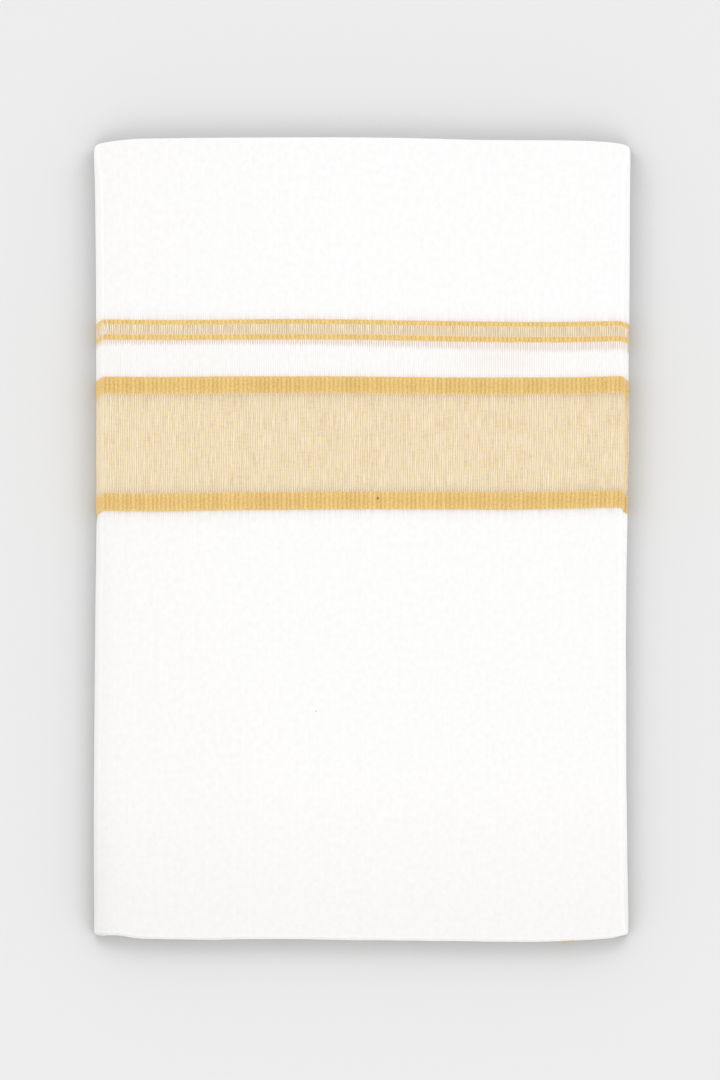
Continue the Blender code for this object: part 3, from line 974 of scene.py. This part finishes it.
def layer_levels():
    """Levels up the layered edges: share of the height, set, share of the set, and package depth."""
    levels = []
    foot = 0
    for sets, back in PACKAGES:
        for k in range(foot, foot + sets):
            for level in SET_LEVELS:
                whole = (k - foot + level) / sets
                levels.append(((k + level) / SETS, k, level, back, whole, foot + sets == SETS))
        foot += sets
    levels.append((1.0, SETS - 1, 1.0, 0.0, 1.0, True))
    return levels


def round_depth(share, deep):
    """How far back a round nose lies at a share of its own height."""
    return deep * (1 - math.sqrt(max(1 - (2 * share - 1) ** 2, 0.0)))


def hidden_reach(y):
    """The hidden layers' height, and how far out their cover lets them reach on both sides."""
    under_flap = y > FRONT_LAP_TOP
    height = flap_height(y) if under_flap else front_height(y)
    tuck = 0.0 if under_flap else front_tuck(y)
    line = line_across(height, tuck, wrap_end(y))
    ways = np.gradient(line, walked_along(line), axis=0)
    ways /= np.hypot(*ways.T)[:, None]
    inside = line - np.column_stack([-ways[:, 1], ways[:, 0]]) * COVER
    side = len(line) // 2
    left = inside[LINE_STEPS + 1 : side]
    right = inside[side : len(line) - LINE_STEPS - 1][::-1]
    return height - COVER, left, right


def hidden_rings():
    """Rings round the hidden layers, from the underside up, as points and places on the cloth."""
    corner = [HALF_LENGTH - END_BACK - d for d in (0.0, 0.0006, 0.0014, 0.0026, 0.0048)]
    upper = sorted([FRONT_LAP_TOP + 0.0004] + corner + spread(0.036, 0.176, 0.0056))
    lower = sorted([FRONT_LAP_TOP] + [-y for y in corner] + spread(-0.176, 0.024, 0.0056))
    up_side = np.array(lower + upper)
    over_top = np.array(spread(-OVER_TOP, OVER_TOP, 0.0040))
    reaches = [hidden_reach(y) for y in up_side]
    rings, maps = [], []
    for share, k, level, back, whole, covered in layer_levels():
        packed = np.array([wrap_end(y) - WRAP_GAP for y in up_side])
        heights = np.array([reach[0] for reach in reaches])
        part = 1 - PACKAGES[-1][0] / SETS
        low = packed * min(share / part, 1.0)
        z = low + (heights - packed) * max((share - part) / (1 - part), 0.0)
        left = np.array([-np.interp(z[j], r[1][:, 1], -r[1][:, 0]) for j, r in enumerate(reaches)])
        if covered:
            right = np.array([np.interp(z[j], r[2][:, 1], r[2][:, 0]) for j, r in enumerate(reaches)])
        else:
            ply = round_depth(level, SET_DEPTH * 0.35)
            wander = 0.00025 * unevenness(up_side, back * 9000)
            right = HALF_WIDTH - back - round_depth(whole, PACKAGE_DEPTH) - ply - np.abs(wander)
        if share == 0.0:
            left = left + UNDERSIDE_LAP
        x = np.concatenate([left, over_top, right[::-1], over_top[::-1]])
        y = np.concatenate(
            [up_side, np.full_like(over_top, up_side[-1]), up_side[::-1], np.full_like(over_top, up_side[0])]
        )
        z = np.concatenate([z, np.full_like(over_top, z[-1]), z[::-1], np.full_like(over_top, z[0])])
        deep = round_depth(level, SET_DEPTH)
        top_back = END_BACK + deep + 0.0005 * np.abs(unevenness(x, k + 0.5))
        foot_back = END_BACK + deep + 0.0004 * np.abs(unevenness(x, 3.7 * k + 2.0))
        y = np.clip(y, -HALF_LENGTH + foot_back, HALF_LENGTH - top_back)
        rings.append(np.column_stack(placed(x, y, z)))
        maps.append(np.column_stack([x + np.where(x > TURNED_PAST, z, 0), y - SELVEDGE_MEAN]))
    rings.insert(1, rings[0] + (0, 0, UNDERSIDE_STEP))
    maps.insert(1, maps[0])
    rings[2] = rings[2] + (0, 0, UNDERSIDE_STEP)
    return np.array(rings), np.array(maps)


class DHOTI_OT_hidden_layers(bpy.types.Operator):
    """Shapes all the layers inside and underneath, with their thin plies at the edges"""

    bl_idname = "dhoti.hidden_layers"
    bl_label = "Hidden layers"

    def execute(self, context):
        rings, maps = hidden_rings()
        rings = np.concatenate([rings, rings[:, :1]], axis=1)
        maps = np.concatenate([maps, maps[:, :1]], axis=1)
        across = np.arange(rings.shape[1], dtype=float)
        along = np.arange(rings.shape[0], dtype=float)
        layers, column, row = cut_cloth("hidden_layers", across, along)
        laid(layers, column, row, rings, maps)
        bpy.ops.object.mode_set(mode="EDIT")
        bpy.ops.mesh.select_all(action="SELECT")
        bpy.ops.mesh.remove_doubles(threshold=0.000001)
        bpy.ops.mesh.select_all(action="DESELECT")
        bpy.ops.mesh.select_non_manifold()
        bpy.ops.mesh.fill_holes(sides=0)
        bpy.ops.mesh.select_all(action="SELECT")
        bpy.ops.mesh.normals_make_consistent(inside=False)
        bpy.ops.object.mode_set(mode="OBJECT")
        bpy.ops.object.shade_smooth_by_angle(angle=math.radians(38))
        flat_map(layers)
        layers.data.materials.append(cloth_finish("banded_cotton", True))
        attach(layers, "root")
        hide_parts("hidden_folds")
        return {"FINISHED"}


def flat_map(layers):
    """Gives the wide flat faces of the hidden layers their places on the cloth."""
    mesh = layers.data
    for face in mesh.polygons:
        if len(face.vertices) > 4:
            for loop in face.loop_indices:
                x, y, _ = mesh.vertices[mesh.loops[loop].vertex_index].co
                mesh.uv_layers["UVMap"].data[loop].uv = (x, y - SELVEDGE_MEAN)


class DHOTI_OT_inner_edge(bpy.types.Operator):
    """Lays the sliver of the other selvedge that peeks out of the bottom fold"""

    bl_idname = "dhoti.inner_edge"
    bl_label = "Inner selvedge"

    def execute(self, context):
        sizes = context.scene.dhoti_sizes
        across = np.array(spread(PEEK_LEFT - PEEK_END, PEEK_RIGHT + PEEK_END, sizes.rib_pitch / 4))
        along = np.array(spread(0.0, 0.0012, 0.0002) + spread(0.0012, PEEK_LENGTH, 0.0018)[1:])
        cloth, column, row = cut_cloth("inner_selvedge", across, along)
        inside = np.minimum(across - PEEK_LEFT, PEEK_RIGHT - across)
        out = smooth((inside + PEEK_END) / (2 * PEEK_END))
        rows = []
        for up in along:
            y = -HALF_LENGTH + up + 0.0009 - 0.0010 * out
            z = PEEK_HEIGHT - 0.0001 + 0.00008 * np.cos(2 * math.pi * across / sizes.rib_pitch)
            z = z - 0.25 * np.clip(0.0006 - up, 0, 1)
            rows.append(np.column_stack(placed(across, y, z)))
        flat = np.stack(np.meshgrid(across, along), axis=-1)
        laid(cloth, column, row, np.array(rows), flat)
        thickened(cloth, sizes.ply)
        cloth.data.materials.append(cloth_finish("banded_cotton", True))
        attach(cloth, "root")
        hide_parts("inner_border_edge")
        return {"FINISHED"}


class DHOTI_OT_pulled_threads(bpy.types.Operator):
    """Lays the loose white threads across the left end of the narrow border"""

    bl_idname = "dhoti.pulled_threads"
    bl_label = "Pulled threads"

    def execute(self, context):
        sizes = context.scene.dhoti_sizes
        finish = Finish("loose_thread", {"Roughness": 0.85, "Sheen Weight": 0.1})
        place = finish.add("ShaderNodeTexCoord", {}, {}).outputs["Object"]
        twist = finish.add("ShaderNodeTexNoise", {}, {"Vector": place, "Scale": 4000.0}).outputs[0]
        tone = Reading(finish, twist)
        colour = finish.mixed(tone, linear(247, 240, 228), linear(252, 250, 247))
        material = finish.finished(colour, tone * 0.1 + 0.8, tone, 0.00003)
        bpy.ops.object.select_all(action="DESELECT")
        cut_ends = places_across(0.01)
        made = []
        for path in PULLED_THREADS:
            curve = bpy.data.curves.new("pulled_thread", "CURVE")
            curve.dimensions = "3D"
            curve.bevel_depth = THREAD_RADIUS
            curve.bevel_resolution = 2
            curve.use_fill_caps = True
            curve.resolution_u = 6
            spline = curve.splines.new("NURBS")
            spline.points.add(len(path) - 1)
            for point, (across, up) in zip(spline.points, path):
                places = np.array([cut_ends[0], across, cut_ends[-1]])
                lying = flap_points(places, [up], sizes, THREAD_RADIUS + THREAD_LIFT)[0][1]
                point.co = (*lying, 1.0)
            spline.use_endpoint_u = True
            spline.order_u = 4
            thread = bpy.data.objects.new("pulled_threads", curve)
            context.scene.collection.objects.link(thread)
            thread.select_set(True)
            made.append(thread)
        context.view_layer.objects.active = made[0]
        bpy.ops.object.convert(target="MESH")
        bpy.ops.object.join()
        threads_made = context.object
        threads_made.name = "pulled_threads"
        threads_made.data.materials.clear()
        threads_made.data.materials.append(material)
        bpy.ops.object.shade_smooth()
        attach(threads_made, "root")
        return {"FINISHED"}


def floor_finish(colours):
    """Plain pale paper, and the soft shade that gathers close round the cloth that lies on it."""
    finish = Finish("plain_floor", {"Specular IOR Level": 0.0})
    place = finish.add("ShaderNodeTexCoord", {}, {}).outputs["Object"]
    grain = finish.add("ShaderNodeTexNoise", {}, {"Vector": place, "Scale": 900.0, "Detail": 3.0})
    tone = Reading(finish, grain.outputs[0])
    base = kept(colours.floor)
    lighter = tuple(min(c * 1.004, 1.0) for c in base)
    colour = finish.mixed(tone, base, lighter)
    near = finish.add("ShaderNodeAmbientOcclusion", {"samples": 16}, {"Distance": SHADE_REACH})
    gathered = (1 - Reading(finish, near.outputs["AO"])).above(SHADE_MIDDLE, SHADE_SOFT)
    along = finish.add("ShaderNodeSeparateXYZ", {}, {"Vector": place}).outputs["Y"]
    past_ends = Reading(finish, along).size().above(HALF_LENGTH, END_SOFT)
    shade = gathered * (FLOOR_SHADE - past_ends * END_SHADE_LESS)
    colour = finish.mixed(shade, colour, (0.0, 0.0, 0.0))
    return finish.finished(colour, tone * 0.05 + 0.9, tone, 0.00001)


class DHOTI_OT_stage(bpy.types.Operator):
    """Sets the plain floor, the soft studio light and the camera"""

    bl_idname = "dhoti.stage"
    bl_label = "Stage"

    def execute(self, context):
        scene = context.scene
        bpy.ops.object.select_all(action="DESELECT")
        bpy.ops.mesh.primitive_plane_add(size=scene.dhoti_sizes.floor_side, location=(0, 0, -FLOOR_DROP))
        floor = context.object
        floor.name = "floor"
        floor.data.materials.append(floor_finish(scene.dhoti_colours))

        world = bpy.data.worlds.new("studio")
        world.use_nodes = True
        scene.world = world
        dome = Nodes(world.node_tree)
        way = dome.add("ShaderNodeTexCoord", {}, {}).outputs["Generated"]
        height = dome.add("ShaderNodeSeparateXYZ", {}, {"Vector": way}).outputs["Z"]
        limits = {"Value": height, "From Min": 0.0, "From Max": DOME_EDGE}
        limits |= {"To Min": DOME_LOW, "To Max": DOME_HIGH}
        strength = dome.add("ShaderNodeMapRange", {"interpolation_type": "SMOOTHSTEP"}, limits)
        background = dome.tree.nodes["Background"]
        background.inputs["Color"].default_value = (1.0, 1.0, 1.0, 1.0)
        dome.feed(background.inputs["Strength"], strength.outputs["Result"])

        bpy.ops.object.light_add(type="AREA", location=LAMP_PLACE)
        lamp = context.object
        lamp.name = "soft_key"
        lamp.data.shape = "DISK"
        lamp.data.size = LAMP_SIZE
        lamp.data.energy = LAMP_POWER
        lamp.rotation_euler = LAMP_TURN

        x, y, z = CAMERA_AIM
        place = (x, y - CAMERA_DISTANCE * math.sin(CAMERA_TILT), z + CAMERA_DISTANCE * math.cos(CAMERA_TILT))
        bpy.ops.object.camera_add(location=place, rotation=(CAMERA_TILT, 0.0, 0.0))
        camera = context.object
        camera.data.sensor_fit = "VERTICAL"
        camera.data.sensor_height = SENSOR_HEIGHT
        camera.data.lens = SENSOR_HEIGHT * CAMERA_DISTANCE / FRAME_HEIGHT
        scene.camera = camera
        scene.view_settings.view_transform = "Standard"
        return {"FINISHED"}


class DHOTI_PT_panel(bpy.types.Panel):
    """Everything that builds the folded dhoti"""

    bl_idname = "DHOTI_PT_panel"
    bl_label = "Folded dhoti"
    bl_space_type = "VIEW_3D"
    bl_region_type = "UI"
    bl_category = "Dhoti"

    def draw(self, context):
        column = self.layout.column()
        for group in (context.scene.dhoti_sizes, context.scene.dhoti_colours):
            for name in group.__annotations__:
                column.prop(group, name)
        for operator in OPERATORS:
            column.operator(operator.bl_idname)


OPERATORS = (
    DHOTI_OT_stage,
    DHOTI_OT_hidden_layers,
    DHOTI_OT_front,
    DHOTI_OT_flap,
    DHOTI_OT_inner_edge,
    DHOTI_OT_pulled_threads,
)
CLASSES = (DhotiSizes, DhotiColours, *OPERATORS, DHOTI_PT_panel)


def register():
    for made in CLASSES:
        bpy.utils.register_class(made)
    bpy.types.Scene.dhoti_sizes = PointerProperty(type=DhotiSizes)
    bpy.types.Scene.dhoti_colours = PointerProperty(type=DhotiColours)


def unregister():
    del bpy.types.Scene.dhoti_colours
    del bpy.types.Scene.dhoti_sizes
    for made in reversed(CLASSES):
        bpy.utils.unregister_class(made)


def main():
    register()
    bpy.ops.dhoti.stage()
    bpy.ops.dhoti.hidden_layers()
    bpy.ops.dhoti.front()
    bpy.ops.dhoti.flap()
    bpy.ops.dhoti.inner_edge()
    bpy.ops.dhoti.pulled_threads()


if __name__ == "__main__":
    main()
